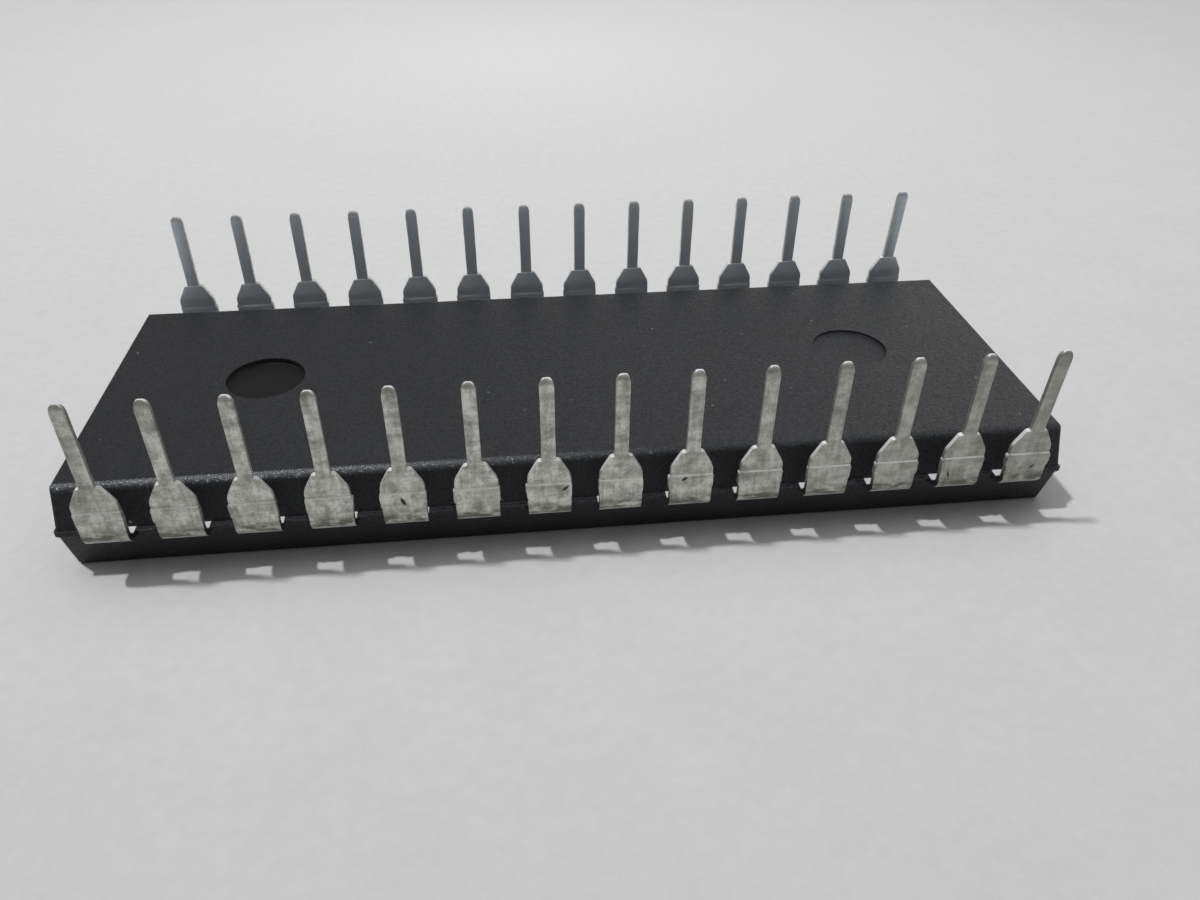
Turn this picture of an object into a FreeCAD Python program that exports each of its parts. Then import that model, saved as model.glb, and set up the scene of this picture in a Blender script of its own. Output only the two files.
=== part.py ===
import FreeCAD, Part
import math
import os

import Sketcher

# A 28-lead wide dual-in-line integrated circuit, in millimetres. It lies on its marked face at z = 0 with
# its leads standing up. The rows of leads run along X, one at -Y and one at +Y, and the origin is the
# centre of the marked face.

# Driving dimensions: name, value, meaning.
DIMENSIONS = [
    ("lead_pitch", 2.54, "spacing of neighbouring leads along a row"),
    ("lead_thickness", 0.25, "sheet that leads and paddle are stamped from"),
    ("shoulder_width", 1.54, "wide upper part of a lead"),
    ("shoulder_rise", 0.69, "height of the sloped part of a shoulder"),
    ("shoulder_radius", 0.40, "rounding where the shoulder's side turns into the slope"),
    ("shoulder_ledge", 0.14, "flat beside the leg that seats on the board"),
    ("ledge_bevel", 0.06, "bevel of the outer corner of that flat"),
    ("leg_width", 0.50, "narrow part of a lead"),
    ("leg_length", 3.31, "from the seating ledge to the tip"),
    ("tip_width", 0.34, "width of a lead's end"),
    ("tip_length", 0.34, "length over which a leg narrows to its tip"),
    ("tip_bevel", 0.07, "bevel of the tip's two broad edges"),
    ("standoff", 0.72, "from the lead-side face to the seating ledge"),
    ("bend_radius", 0.25, "inside radius where a lead turns up"),
    ("coin_height", 1.40, "from the parting line to the coined step across a shoulder"),
    ("coin_depth", 0.035, "depth of that step"),
    ("row_margin", 1.99, "from the last lead of a row to the body's end"),
    ("leg_clearance", 0.52, "from the body's side to the inner face of the legs"),
    ("body_width", 13.80, "width of the body at the parting line"),
    ("body_thickness", 3.60, "marked face to lead-side face"),
    ("parting_height", 1.905, "from the marked face to the parting line, at the middle of the sheet"),
    ("side_draft", 16.5, "draft of the long sides of the lead-side half in degrees"),
    ("marked_side_draft", 17.0, "draft of the long sides of the marked half in degrees"),
    ("end_draft", 4.0, "draft of the short ends of the lead-side half in degrees"),
    ("marked_end_draft", 0.5, "draft of the short ends of the marked half in degrees"),
    ("edge_radius", 0.12, "rounding of the body's edges and upright corners"),
    ("flash_height", 0.22, "height of the flash line round the parting"),
    ("flash_proud", 0.05, "how far the flash line stands out"),
    ("notch_radius", 1.45, "half-round notch that marks the end with lead 1"),
    ("notch_depth", 1.00, "depth of that notch"),
    ("dimple_radius", 0.60, "round dimple beside lead 1"),
    ("dimple_depth", 0.12, "depth of that dimple"),
    ("dimple_inset", 1.70, "from the body's long edge to the dimple's centre"),
    ("ejector_radius", 1.54, "round ejector marks on the lead-side face"),
    ("ejector_inset", 6.28, "from the body's end to the centre of an ejector mark"),
    ("ejector_offset", 0.20, "from the body's middle line to those centres, towards the far row"),
    ("deep_ejector_depth", 0.25, "ejector mark near the notched end"),
    ("shallow_ejector_depth", 0.13, "ejector mark near the other end"),
    ("anchor_depth", 1.20, "how far a shoulder's full width reaches into the body"),
    ("finger_width", 0.36, "inner fingers"),
    ("finger_gap", 0.35, "from the paddle to the ends of the fingers"),
    ("paddle_length", 7.80, "die paddle along the body"),
    ("paddle_width", 5.20, "die paddle across the body"),
    ("paddle_downset", 0.25, "how far the paddle lies nearer to the lead-side face than the fingers"),
    ("tie_width", 0.50, "tie bars that carry the paddle"),
    ("tie_run", 0.60, "length over which a tie bar slopes to the paddle's level"),
    ("tie_stub", 0.03, "how far the cut end of a tie bar stands out of the flash line"),
    ("attach_thickness", 0.03, "die attach layer"),
    ("attach_margin", 0.12, "how far the attach layer reaches past the die"),
    ("die_length", 6.20, "silicon die along the body"),
    ("die_width", 4.00, "silicon die across the body"),
    ("die_thickness", 0.38, "silicon die"),
    ("pad_inset", 0.15, "from the die's edge to its bond pads"),
    ("wire_thickness", 0.032, "gold bond wires"),
    ("wire_loop", 0.18, "how far a wire rises off the die before it runs out"),
    ("wire_landing", 0.12, "flat landing of a wire on its finger"),
]

LEADS_PER_ROW = 14
LEADS_PER_QUARTER = LEADS_PER_ROW // 2
FINGERS_TO_LONG_SIDE = 3
CUT_MARGIN = 1.0

# Sizes that follow from the sheet, as expressions over its names.
PARTING = "sizes.parting_height"
STRIP_BOTTOM = f"({PARTING} - sizes.lead_thickness / 2)"
STRIP_TOP = f"({PARTING} + sizes.lead_thickness / 2)"
LEG_INNER = "(sizes.body_width / 2 + sizes.leg_clearance)"
LEG_OUTER = f"({LEG_INNER} + sizes.lead_thickness)"
BEND_CENTRE_Y = f"({LEG_INNER} - sizes.bend_radius)"
BEND_CENTRE_Z = f"({STRIP_TOP} + sizes.bend_radius)"
SEAT = "(sizes.body_thickness + sizes.standoff)"
TIP = f"({SEAT} + sizes.leg_length)"
COIN = f"({PARTING} + sizes.coin_height)"
ANCHOR_Y = "(sizes.body_width / 2 - sizes.anchor_depth)"
BODY_LENGTH = f"({LEADS_PER_ROW - 1} * sizes.lead_pitch + 2 * sizes.row_margin)"
LEAD_HALF = f"(sizes.body_thickness - {PARTING})"
MARKED_LENGTH = f"({BODY_LENGTH} - 2 * {PARTING} * tan(sizes.marked_end_draft))"
MARKED_WIDTH = f"(sizes.body_width - 2 * {PARTING} * tan(sizes.marked_side_draft))"
LEAD_SIDE_LENGTH = f"({BODY_LENGTH} - 2 * {LEAD_HALF} * tan(sizes.end_draft))"
LEAD_SIDE_WIDTH = f"(sizes.body_width - 2 * {LEAD_HALF} * tan(sizes.side_draft))"
PARTING_OUTLINE = (PARTING, BODY_LENGTH, "sizes.body_width")
PADDLE_BOTTOM = f"({STRIP_BOTTOM} + sizes.paddle_downset)"
DIE_FACE = f"({PADDLE_BOTTOM} - sizes.attach_thickness - sizes.die_thickness)"

doc = FreeCAD.newDocument("integrated_circuit")
sheet = doc.addObject("Spreadsheet::Sheet", "sizes")
for row, (alias, value, meaning) in enumerate(DIMENSIONS, start=1):
    sheet.set(f"A{row}", alias)
    sheet.set(f"B{row}", str(value))
    sheet.set(f"C{row}", meaning)
    sheet.setAlias(f"B{row}", alias)
doc.recompute()


def value_of(expression):
    """Number that an expression over the sheet stands for."""
    result = sheet.evalExpression(expression)
    return float(getattr(result, "Value", result))


def arc_between(start, end, radius, turn):
    """Arc from start to end that turns left (1) or right (-1)."""
    chord = end - start
    sagitta_foot = math.sqrt(max(radius ** 2 - chord.Length ** 2 / 4, 0))
    left = FreeCAD.Vector(-chord.y, chord.x, 0).normalize()
    centre = (start + end) / 2 + left * sagitta_foot * turn
    first, last = (start, end) if turn > 0 else (end, start)
    angles = [math.atan2(p.y - centre.y, p.x - centre.x) for p in (first, last)]
    if angles[1] < angles[0]:
        angles[1] += 2 * math.pi
    circle = Part.Circle(centre, FreeCAD.Vector(0, 0, 1), radius)
    return Part.ArcOfCircle(circle, *angles)


def add_outline(sketch, corners):
    """Draw one closed outline whose corners sit at pairs of expressions.

    A corner is (x, y), or (x, y, radius, turn) where an arc leads on from it to the next corner.
    """
    points = [FreeCAD.Vector(value_of(c[0]), value_of(c[1]), 0) for c in corners]
    starts, ends = [], []
    for i, start in enumerate(points):
        end = points[(i + 1) % len(points)]
        if len(corners[i]) == 4:
            radius, turn = corners[i][2:]
            edge = sketch.addGeometry(arc_between(start, end, value_of(radius), turn), False)
            sketch.addConstraint(Sketcher.Constraint("Radius", edge, value_of(radius)))
            sketch.setExpression(f"Constraints[{sketch.ConstraintCount - 1}]", radius)
            ordered = (1, 2) if turn > 0 else (2, 1)
        else:
            edge = sketch.addGeometry(Part.LineSegment(start, end), False)
            ordered = (1, 2)
        starts.append((edge, ordered[0]))
        ends.append((edge, ordered[1]))
    for i, finish in enumerate(ends):
        sketch.addConstraint(Sketcher.Constraint("Coincident", *finish, *starts[(i + 1) % len(starts)]))
    for (edge, place), point, corner in zip(starts, points, corners):
        for kind, measure, text in (("DistanceX", point.x, corner[0]), ("DistanceY", point.y, corner[1])):
            sketch.addConstraint(Sketcher.Constraint(kind, -1, 1, edge, place, measure))
            sketch.setExpression(f"Constraints[{sketch.ConstraintCount - 1}]", text)


def new_sketch(body, name, plane, *outlines, height=None):
    """Sketch on one of the body's own planes, moved along its normal by height."""
    sketch = body.newObject("Sketcher::SketchObject", name)
    support = next(f for f in body.Origin.OriginFeatures if f.Role == plane)
    sketch.AttachmentSupport = (support, [""])
    sketch.MapMode = "FlatFace"
    if height is not None:
        sketch.setExpression(".AttachmentOffset.Base.z", height)
    for outline in outlines:
        add_outline(sketch, outline)
    return sketch


def pad(body, sketch, length, symmetric=False):
    """Solid grown from a sketch along its normal, or equally to both sides of it."""
    feature = body.newObject("PartDesign::Pad", f"{sketch.Name}_pad")
    feature.Profile = sketch
    feature.SideType = "Symmetric" if symmetric else "One side"
    feature.setExpression("Length", length)
    return feature


def pocket(body, sketch, length=None, reverse=False):
    """Cut from a sketch, to a depth or, with none given, through all on both sides."""
    feature = body.newObject("PartDesign::Pocket", f"{sketch.Name}_pocket")
    feature.Profile = sketch
    feature.Reversed = reverse
    if length is None:
        feature.Type = "ThroughAll"
        feature.SideType = "Symmetric"
    else:
        feature.setExpression("Length", length)
    return feature


def check_cut(feature, body):
    """Stop where a cut has taken nothing away."""
    doc.recompute()
    if feature.Shape.Volume >= feature.BaseFeature.Shape.Volume - 1e-6:
        raise RuntimeError(f"{feature.Name} cuts nothing from {body.Label}")


def rectangle(length, width):
    """Corners of a rectangle centred on the sketch's origin."""
    x, y = f"{length} / 2", f"{width} / 2"
    return [(f"-({x})", f"-({y})"), (x, f"-({y})"), (x, y), (f"-({x})", y)]


def rounded_rectangle(length, width, radius):
    """Corners of a rectangle with rounded corners, centred on the sketch's origin."""
    x, y = f"({length}) / 2", f"({width}) / 2"
    near_x, near_y = f"({x} - {radius})", f"({y} - {radius})"
    return [
        (f"-{near_x}", f"-({y})"), (near_x, f"-({y})", radius, 1),
        (x, f"-{near_y}"), (x, near_y, radius, 1),
        (near_x, y), (f"-{near_x}", y, radius, 1),
        (f"-({x})", near_y), (f"-({x})", f"-{near_y}", radius, 1),
    ]


def strip_outline(route, half_width):
    """Outline of a flat strip along a route of (x, y, direction) points.

    The direction is the one in which the route leaves that point, in degrees. The strip's corners are
    mitred, so each lies on the line that halves the turn.
    """
    left, right = [], []
    headings = [math.radians(point[2]) for point in route]
    for i, (x, y, _) in enumerate(route):
        after = headings[i]
        before = headings[i - 1] if 0 < i < len(route) - 1 else after
        share = 1 / (1 + math.cos(after - before))
        across = -(math.sin(before) + math.sin(after)) * share
        along = (math.cos(before) + math.cos(after)) * share
        left.append((f"{x} + ({across:.9f}) * {half_width}", f"{y} + ({along:.9f}) * {half_width}"))
        right.append((f"{x} - ({across:.9f}) * {half_width}", f"{y} - ({along:.9f}) * {half_width}"))
    return right + left[::-1]


def lead_side_profile():
    """Bent strip seen from the end of the row, with Y to the right and Z up."""
    coined = f"-({LEG_OUTER} - sizes.coin_depth)"
    return [
        (f"-{ANCHOR_Y}", STRIP_BOTTOM),
        (f"-{BEND_CENTRE_Y}", STRIP_BOTTOM, "sizes.bend_radius + sizes.lead_thickness", -1),
        (f"-{LEG_OUTER}", BEND_CENTRE_Z),
        (f"-{LEG_OUTER}", COIN),
        (coined, f"{COIN} + sizes.coin_depth"),
        (coined, f"{TIP} - sizes.tip_bevel"),
        (f"{coined} + sizes.tip_bevel", TIP),
        (f"-{LEG_INNER} - sizes.tip_bevel", TIP),
        (f"-{LEG_INNER}", f"{TIP} - sizes.tip_bevel"),
        (f"-{LEG_INNER}", BEND_CENTRE_Z, "sizes.bend_radius", 1),
        (f"-{BEND_CENTRE_Y}", STRIP_TOP),
        (f"-{ANCHOR_Y}", STRIP_TOP),
    ]


def trimmed_side(side):
    """Waste beside a leg and its sloped shoulder, on one side of the lead, seen from the front."""
    half = "sizes.shoulder_width / 2"
    foot = "(sizes.leg_width / 2 + sizes.shoulder_ledge)"
    slope = f"atan(({half} - {foot}) / sizes.shoulder_rise)"
    tangent = f"sizes.shoulder_radius * tan({slope} / 2)"
    corner = f"{SEAT} - sizes.shoulder_rise"
    outside = f"{half} + {CUT_MARGIN}"
    outline = [
        (half, f"{corner} - {tangent}", "sizes.shoulder_radius", 1),
        (f"{half} - {tangent} * sin({slope})", f"{corner} + {tangent} * cos({slope})"),
        (f"{foot} + sizes.ledge_bevel * sin({slope})", f"{SEAT} - sizes.ledge_bevel * cos({slope})"),
        (f"{foot} - sizes.ledge_bevel", SEAT),
        ("sizes.leg_width / 2", SEAT),
        ("sizes.leg_width / 2", f"{TIP} - sizes.tip_length"),
        ("sizes.tip_width / 2", TIP),
        ("sizes.tip_width / 2", f"{TIP} + {CUT_MARGIN}"),
        (outside, f"{TIP} + {CUT_MARGIN}"),
        (outside, f"{corner} - {tangent}"),
    ]
    if side > 0:
        return outline
    return [(f"-({c[0]})", c[1]) if len(c) == 2 else (f"-({c[0]})", c[1], c[2], -c[3]) for c in outline]


def lead_x(place):
    """Place of a lead along its row, counted outwards from the middle of the body."""
    return f"({place + 0.5} * sizes.lead_pitch)"


def finger_end(place):
    """Where the inner finger of a lead ends: x and y from the middle of the body."""
    if place < FINGERS_TO_LONG_SIDE:
        share = (place + 0.5) / (FINGERS_TO_LONG_SIDE + 0.5)
        return f"(sizes.paddle_length / 2 * {share})", "(sizes.paddle_width / 2 + sizes.finger_gap)"
    share = (LEADS_PER_QUARTER - place - 0.25) / (LEADS_PER_QUARTER - FINGERS_TO_LONG_SIDE)
    beside_tie = "(sizes.paddle_width / 2 - sizes.tie_width / 2)"
    return (
        "(sizes.paddle_length / 2 + sizes.finger_gap)",
        f"(sizes.tie_width / 2 + {beside_tie} * {share})",
    )


def finger_outline(place):
    """Inner finger of a lead in the near row, seen from above. X counts from the lead itself.

    Fingers of the inner leads slant straight to the paddle's long side. The others leave their shoulder
    at 45 degrees and turn to run along the body to the paddle's short side.
    """
    end_x, end_y = finger_end(place)
    half = "sizes.finger_width / 2"
    shift = f"({lead_x(place)} - {end_x})"
    if place < FINGERS_TO_LONG_SIDE:
        return [
            (f"-{half}", f"-{ANCHOR_Y}"), (half, f"-{ANCHOR_Y}"),
            (f"{half} - {shift}", f"-{end_y}"), (f"-{half} - {shift}", f"-{end_y}"),
        ]
    return strip_outline(
        [
            ("sizes.finger_width", f"-({ANCHOR_Y} + sizes.finger_width)", 135),
            (f"-({ANCHOR_Y} - {end_y})", f"-{end_y}", 180),
            (f"-{shift}", f"-{end_y}", 180),
        ],
        half,
    )


def make_lead(place):
    """One lead of the near row, counted outwards from the middle of the body."""
    body = doc.addObject("PartDesign::Body", f"lead_master_{place}")
    side = new_sketch(body, f"lead_{place}_side", "YZ_Plane", lead_side_profile())
    pad(body, side, "sizes.shoulder_width", symmetric=True)
    waste = new_sketch(body, f"lead_{place}_waste", "XZ_Plane", trimmed_side(1), trimmed_side(-1))
    check_cut(pocket(body, waste), body)
    outline = finger_outline(place)
    finger = new_sketch(body, f"lead_{place}_finger", "XY_Plane", outline, height=STRIP_BOTTOM)
    pad(body, finger, "sizes.lead_thickness")
    body.setExpression(".Placement.Base.x", lead_x(place))
    return body


def make_paddle():
    """Die paddle between two tie bars that slope up to it from the level of the fingers."""
    body = doc.addObject("PartDesign::Body", "paddle")
    plate = new_sketch(
        body, "paddle_plate", "XY_Plane",
        rectangle("sizes.paddle_length", "sizes.paddle_width"), height=PADDLE_BOTTOM,
    )
    pad(body, plate, "sizes.lead_thickness")
    end = f"({BODY_LENGTH} / 2 + sizes.flash_proud + sizes.tie_stub)"
    inner = "(sizes.paddle_length / 2 + sizes.finger_gap)"
    outer = f"({inner} + sizes.tie_run)"
    lower = [(end, STRIP_BOTTOM), (outer, STRIP_BOTTOM), (inner, PADDLE_BOTTOM)]
    left_side = [(f"-{x}", z) for x, z in lower]
    right_side = lower[::-1]
    bottom = left_side + right_side
    top = [(x, f"{z} + sizes.lead_thickness") for x, z in reversed(bottom)]
    ties = new_sketch(body, "paddle_ties", "XZ_Plane", bottom + top)
    pad(body, ties, "sizes.tie_width", symmetric=True)
    body.Label = "die_paddle"
    return body


def make_slab(label, length, width, thickness, bottom):
    """Flat block centred over the origin."""
    slab = doc.addObject("Part::Box", label)
    slab.setExpression("Length", length)
    slab.setExpression("Width", width)
    slab.setExpression("Height", thickness)
    slab.setExpression(".Placement.Base.x", f"-({length}) / 2")
    slab.setExpression(".Placement.Base.y", f"-({width}) / 2")
    slab.setExpression(".Placement.Base.z", bottom)
    slab.Label = label
    return slab


def pad_place(place):
    """Bond pad on the die for a lead of the near row: x and y from the middle of the body."""
    if place < FINGERS_TO_LONG_SIDE:
        return (
            f"(sizes.die_length / 2 * {(place + 0.5) / (FINGERS_TO_LONG_SIDE + 0.5)})",
            "(sizes.die_width / 2 - sizes.pad_inset)",
        )
    share = (LEADS_PER_QUARTER - place - 0.5) / (LEADS_PER_QUARTER - FINGERS_TO_LONG_SIDE)
    return (
        "(sizes.die_length / 2 - sizes.pad_inset)",
        f"((sizes.die_width / 2 - sizes.pad_inset) * {share})",
    )


def make_wire(place):
    """Gold wire from a bond pad of the die to the end of a finger, in the near row.

    It is drawn square, in its own upright plane: off the die's face, over a loop and flat onto the
    finger.
    """
    start_x, start_y = pad_place(place)
    end_x, end_y = finger_end(place)
    landing = "sizes.finger_width / 2"
    if place < FINGERS_TO_LONG_SIDE:
        target = (end_x, f"({end_y} + {landing})")
    else:
        target = (f"({end_x} + {landing})", end_y)
    run_x = f"({target[0]} - {start_x})"
    run_y = f"({start_y} - {target[1]})"
    reach = f"sqrt({run_x} ^ 2 + {run_y} ^ 2)"
    body = doc.addObject("PartDesign::Body", f"wire_master_{place}")
    half = "sizes.wire_thickness / 2"
    rise = f"({STRIP_BOTTOM} - {DIE_FACE} - {half})"
    landing_start = f"({reach} - sizes.wire_landing)"
    outline = [
        (f"-({half})", "0"), (f"-({half})", f"-sizes.wire_loop"),
        (landing_start, f"{rise} - {half}"), (reach, f"{rise} - {half}"),
        (reach, f"{rise} + {half}"), (landing_start, f"{rise} + {half}"),
        (half, f"-sizes.wire_loop + sizes.wire_thickness"), (half, "0"),
    ]
    side = new_sketch(body, f"wire_{place}_side", "XZ_Plane", outline)
    pad(body, side, "sizes.wire_thickness", symmetric=True)
    body.Placement.Rotation = FreeCAD.Rotation(FreeCAD.Vector(0, 0, 1), 1)
    body.setExpression(".Placement.Base.x", start_x)
    body.setExpression(".Placement.Base.y", f"-{start_y}")
    body.setExpression(".Placement.Base.z", DIE_FACE)
    body.setExpression(".Placement.Rotation.Angle", f"atan2({run_y}; {run_x})")
    return body


def mirrored(source, normal):
    """Copy of a piece on the other side of the plane through the origin with that normal."""
    copy = doc.addObject("Part::Mirroring", f"{source.Name}_mirror")
    copy.Source = source
    copy.Normal = normal
    return copy


def four_quarters(masters, label):
    """Name the pieces of all four quarters by the lead number that they belong to.

    Leads count from the notched end along the far row and back along the near row.
    """
    across, along = FreeCAD.Vector(0, 1, 0), FreeCAD.Vector(1, 0, 0)
    pieces = {}
    for place, master in enumerate(masters):
        far = mirrored(master, across)
        pieces[LEADS_PER_QUARTER - place] = mirrored(far, along)
        pieces[LEADS_PER_QUARTER + 1 + place] = far
        pieces[3 * LEADS_PER_QUARTER - place] = master
        pieces[3 * LEADS_PER_QUARTER + 1 + place] = mirrored(master, along)
    for number, piece in pieces.items():
        piece.Label = f"{label}_{number:02d}"
    return [pieces[number] for number in sorted(pieces)]


def make_half(name, lower, upper):
    """One drafted half of the moulded body, with every edge rounded but those at the parting line.

    The lower and upper outlines are (height, length, width).
    """
    body = doc.addObject("PartDesign::Body", name)
    wedge = body.newObject("PartDesign::AdditiveWedge", f"{name}_wedge")
    wedge.Placement = FreeCAD.Placement(FreeCAD.Vector(), FreeCAD.Rotation(FreeCAD.Vector(1, 0, 0), 90))
    for which, mark, (height, length, width) in (("min", "", lower), ("max", "2", upper)):
        wedge.setExpression(f"Y{which}", height)
        for axis, size in (("X", length), ("Z", width)):
            wedge.setExpression(f"{axis}{mark}min", f"-({size}) / 2")
            wedge.setExpression(f"{axis}{mark}max", f"({size}) / 2")
    doc.recompute()
    parting = value_of(PARTING)
    rounded = [
        f"Edge{i}" for i, edge in enumerate(wedge.Shape.Edges, start=1)
        if any(abs(v.Point.z - parting) > 1e-6 for v in edge.Vertexes)
    ]
    fillet = body.newObject("PartDesign::Fillet", f"{name}_edges")
    fillet.Base = (wedge, rounded)
    fillet.setExpression("Radius", "sizes.edge_radius")
    return body


def circle_pocket(body, name, face_z, x, y, radius, depth, reverse):
    """Round blind recess in a face of the body."""
    sketch = new_sketch(body, name, "XY_Plane", height=face_z)
    place = FreeCAD.Vector(value_of(x), value_of(y), 0)
    ring = sketch.addGeometry(Part.Circle(place, FreeCAD.Vector(0, 0, 1), value_of(radius)), False)
    for kind, measure, text in (("DistanceX", place.x, x), ("DistanceY", place.y, y)):
        sketch.addConstraint(Sketcher.Constraint(kind, -1, 1, ring, 3, measure))
        sketch.setExpression(f"Constraints[{sketch.ConstraintCount - 1}]", text)
    sketch.addConstraint(Sketcher.Constraint("Radius", ring, value_of(radius)))
    sketch.setExpression(f"Constraints[{sketch.ConstraintCount - 1}]", radius)
    check_cut(pocket(body, sketch, depth, reverse), body)


def make_marked_half():
    """Half with the marked face, which carries the notch and the dimple at lead 1."""
    body = make_half("marked_half", ("0", MARKED_LENGTH, MARKED_WIDTH), PARTING_OUTLINE)
    circle_pocket(
        body, "notch", "0", f"-{BODY_LENGTH} / 2", "0", "sizes.notch_radius", "sizes.notch_depth", True,
    )
    circle_pocket(
        body, "dimple", "0", f"-{lead_x(LEADS_PER_QUARTER - 1)}",
        f"{MARKED_WIDTH} / 2 - sizes.dimple_inset", "sizes.dimple_radius", "sizes.dimple_depth", True,
    )
    return body


def make_lead_half():
    """Half with the lead-side face, which carries the two ejector marks."""
    lead_side = ("sizes.body_thickness", LEAD_SIDE_LENGTH, LEAD_SIDE_WIDTH)
    body = make_half("lead_half", PARTING_OUTLINE, lead_side)
    place = f"({BODY_LENGTH} / 2 - sizes.ejector_inset)"
    for name, x, depth in (
        ("deep_mark", f"-{place}", "sizes.deep_ejector_depth"),
        ("shallow_mark", place, "sizes.shallow_ejector_depth"),
    ):
        circle_pocket(
            body, name, "sizes.body_thickness", x, "sizes.ejector_offset",
            "sizes.ejector_radius", depth, False,
        )
    return body


def make_flash():
    """Thin line of flash that runs round the body at the parting."""
    body = doc.addObject("PartDesign::Body", "flash")
    outline = rounded_rectangle(
        f"{BODY_LENGTH} + 2 * sizes.flash_proud", "sizes.body_width + 2 * sizes.flash_proud",
        "sizes.edge_radius",
    )
    sketch = new_sketch(body, "flash_line", "XY_Plane", outline, height=PARTING)
    pad(body, sketch, "sizes.flash_height", symmetric=True)
    return body


def cut_out(base, tools, name):
    """The base without the room that the tools take up. No two tools may touch."""
    group = doc.addObject("Part::Compound", f"{name}_tools")
    group.Links = tools
    cut = doc.addObject("Part::Cut", name)
    cut.Base = base
    cut.Tool = group
    return cut


leads = four_quarters([make_lead(place) for place in range(LEADS_PER_QUARTER)], "lead")
wires = four_quarters([make_wire(place) for place in range(LEADS_PER_QUARTER)], "bond_wire")
paddle = make_paddle()
attach_reach = "2 * sizes.attach_margin"
attach = make_slab(
    "die_attach", f"sizes.die_length + {attach_reach}", f"sizes.die_width + {attach_reach}",
    "sizes.attach_thickness", f"{PADDLE_BOTTOM} - sizes.attach_thickness",
)
die = make_slab("silicon_die", "sizes.die_length", "sizes.die_width", "sizes.die_thickness", DIE_FACE)

blank = doc.addObject("Part::MultiFuse", "blank")
blank.Shapes = [make_marked_half(), make_lead_half(), make_flash()]
framed = cut_out(blank, leads + [paddle], "room_for_frame")
chipped = cut_out(framed, [attach], "room_for_attach")
seated = cut_out(chipped, [die], "room_for_die")
mould = cut_out(seated, wires, "moulding")
mould.Label = "mould_body"
doc.recompute()

for item in doc.Objects:
    if "Invalid" in item.State or "Error" in item.State:
        raise RuntimeError(f"{item.Name} failed: {item.State}")

os.makedirs("parts", exist_ok=True)
for piece in [mould, paddle, attach, die] + leads + wires:
    if piece.Shape.isNull() or not piece.Shape.isValid():
        raise RuntimeError(f"{piece.Label} has no valid shape")
    piece.Shape.exportStep(f"parts/{piece.Label}.step")
    print(piece.Label, len(piece.Shape.Solids), round(piece.Shape.Volume, 5))
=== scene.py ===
import math
import random
from collections import namedtuple

import bmesh
import bpy
from mathutils import Matrix, Vector


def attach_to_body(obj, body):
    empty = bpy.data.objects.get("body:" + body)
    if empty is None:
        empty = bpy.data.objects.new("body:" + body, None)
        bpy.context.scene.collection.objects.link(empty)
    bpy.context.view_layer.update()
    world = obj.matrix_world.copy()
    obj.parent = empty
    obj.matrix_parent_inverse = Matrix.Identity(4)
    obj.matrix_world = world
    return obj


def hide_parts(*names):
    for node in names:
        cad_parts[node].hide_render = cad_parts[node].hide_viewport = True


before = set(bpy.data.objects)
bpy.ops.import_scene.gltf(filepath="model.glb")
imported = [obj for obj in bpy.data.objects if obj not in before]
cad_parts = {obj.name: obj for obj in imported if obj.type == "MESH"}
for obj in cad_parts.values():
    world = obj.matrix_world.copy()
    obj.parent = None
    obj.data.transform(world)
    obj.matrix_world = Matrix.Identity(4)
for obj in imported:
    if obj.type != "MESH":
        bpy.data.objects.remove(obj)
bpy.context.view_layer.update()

# A dual-in-line integrated circuit on its marked face, leads up. Shapes are written in millimetres and
# turned into metres when they become objects.
MM = 0.001

# Leads: a strip that leaves the body at the parting plane, bends up, and narrows from its shoulder, over the
# ledge on which the board would sit, to a leg and a tip. Half widths are measured from its middle.
LEADS_PER_ROW = 14
PITCH = 2.54
STRIP = 0.25
PARTING = 1.905
ROW_PLACE = 7.545
BEND_RADIUS = 0.375
ANCHOR_PLACE = 5.70
ANCHOR_OVERLAP = 0.02
SHOULDER_HALF = 0.77
SHOULDER_RADIUS = 0.60
SHOULDER_CORNER = 3.63
SEAT = 4.32
FOOT_HALF = 0.39
LEDGE_RADIUS = 0.10
LEG_HALF = 0.25
LEG_START = SEAT + 0.06
LEG_WAVER = (-0.006, 0.004)
TIP_START = 7.27
TIP = 7.63
TIP_HALF = 0.17
COIN_LINE = 3.305
COIN_DEPTH = 0.045
THINNEST_HALF = 0.02
DAM_LOW = 2.74
DAM_HIGH = 3.27
BURR_PROUD = (0.015, 0.06)
SHEAR_ROUNDING = 0.030
# How far the tips of bent leads stand aside, by number
BENT_LEADS = {14: 0.17, 15: 0.18}
# Stains on the outer faces of the near leads: centre, half sizes and slant in degrees
STAINS = [
    ((-6.37, -7.66, 2.98), (0.07, 0.15, 0.17), -22),
    ((-0.70, -7.66, 3.13), (0.055, 0.15, 0.15), 48),
    ((3.55, -7.65, 3.19), (0.06, 0.15, 0.13), 62),
    ((13.50, -7.66, 2.62), (0.04, 0.15, 0.15), -12),
    ((16.74, -7.66, 2.74), (0.035, 0.15, 0.14), 38),
]

# Body
BODY_HALF_LENGTH = 18.50
BODY_HALF_WIDTH = 6.90
BODY_THICKNESS = 3.60
CORNER_RADIUS = 0.15
SMALLEST_RADIUS = 0.02
FLASH_HALF_HEIGHT = 0.11
FLASH_PROUD = 0.05
FLASH_ROUNDING = 0.035
DAM_FLASH_REACH = 7.10
DAM_FLASH_SEED = 7
NOTCH_RADIUS, NOTCH_DEPTH = 1.45, 1.00
DIMPLE_RADIUS, DIMPLE_DEPTH = 0.60, 0.12
DIMPLE_PLACE = (-16.51, 4.618)
MARK_RADIUS = 1.54
DEEP_MARK_PLACE, SHALLOW_MARK_PLACE = (-12.22, 0.20), (12.22, 0.20)
DEEP_MARK, SHALLOW_MARK = 0.25, 0.13
RIM_ROUNDING = 0.035

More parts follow.
